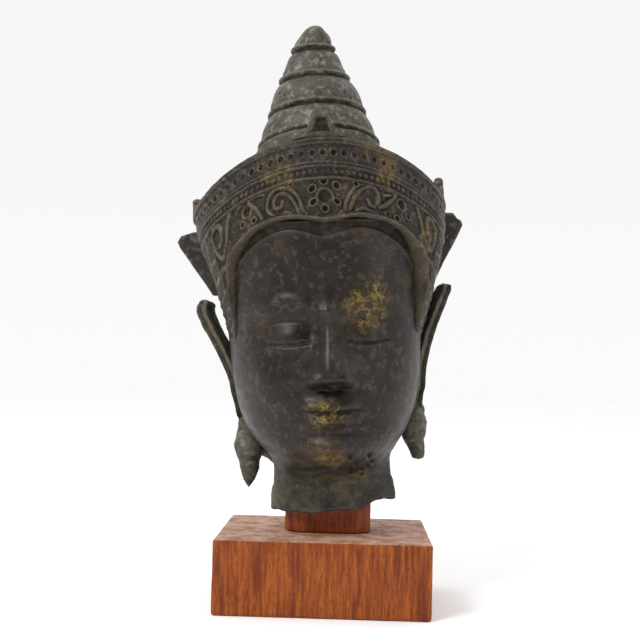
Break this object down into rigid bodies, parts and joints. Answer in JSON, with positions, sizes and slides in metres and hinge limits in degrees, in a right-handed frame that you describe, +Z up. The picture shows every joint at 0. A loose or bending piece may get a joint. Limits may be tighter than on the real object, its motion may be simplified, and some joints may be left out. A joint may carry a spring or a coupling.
{
  "type": "bronze buddha head on wooden stand",
  "caption": "Crowned head of a figure cast in bronze, with a ringed spire, long ears and pendants, set by its hollow neck over a wooden post on a rectangular wooden block.",
  "frame": {"origin": "centre of the block's underside", "axes": "+Z up, towards the spire's tip; -Y the side the face looks to; +X the figure's left, to the right in the picture"},
  "size_m": [0.1271, 0.1115, 0.2542],
  "materials": {
    "bronze": "dark brown satin patina with green and ochre deposits in the recesses",
    "post_wood": "bare whittled wood, satin",
    "block_wood": "oiled red-brown wood, satin, dusty on top"
  },
  "bodies": {
    "root": {"bronze_head": "bronze", "mounting_post": "post_wood", "base_block": "block_wood"}
  },
  "joints": []
}
